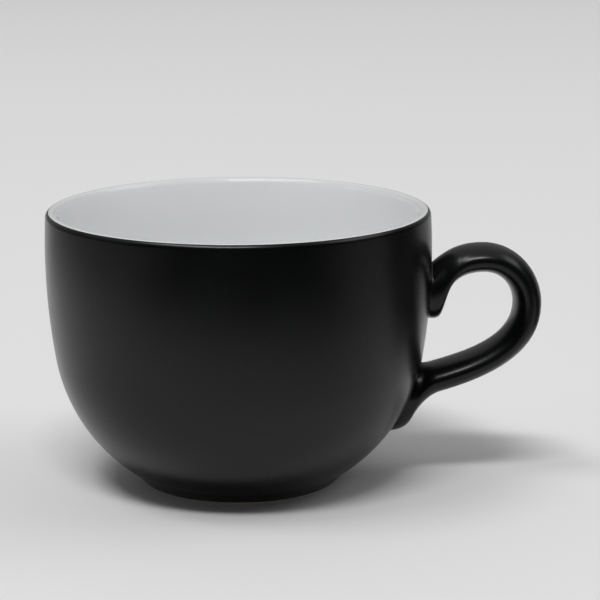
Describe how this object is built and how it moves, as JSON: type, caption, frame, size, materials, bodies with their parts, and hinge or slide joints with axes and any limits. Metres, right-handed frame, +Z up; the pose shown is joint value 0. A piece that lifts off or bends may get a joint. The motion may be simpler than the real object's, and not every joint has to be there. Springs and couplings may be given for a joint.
{
  "type": "cappuccino cup",
  "caption": "Round-bellied stoneware cappuccino cup on a low turned foot, with an ear-shaped handle, black satin glaze outside and white gloss glaze inside.",
  "frame": {"origin": "on the bowl's axis, in the plane of the flat foot ring that stands on the table", "axes": "+Z up along the bowl's axis, +X from the axis towards the handle, +Y to the back as seen with the handle on the right"},
  "size_m": [0.1354, 0.105, 0.0752],
  "materials": {
    "clay": "bare fired stoneware, matt",
    "slip": "bare fired slip, matt",
    "white_gloss_glaze": "gloss",
    "black_satin_glaze": "satin"
  },
  "bodies": {
    "root": {"stoneware_body": "clay", "handle": "clay", "upper_slip_joint": "slip", "lower_slip_joint": "slip", "inner_glaze": "white_gloss_glaze", "outer_glaze": "black_satin_glaze", "handle_glaze": "black_satin_glaze", "base_glaze": "black_satin_glaze"}
  },
  "joints": []
}
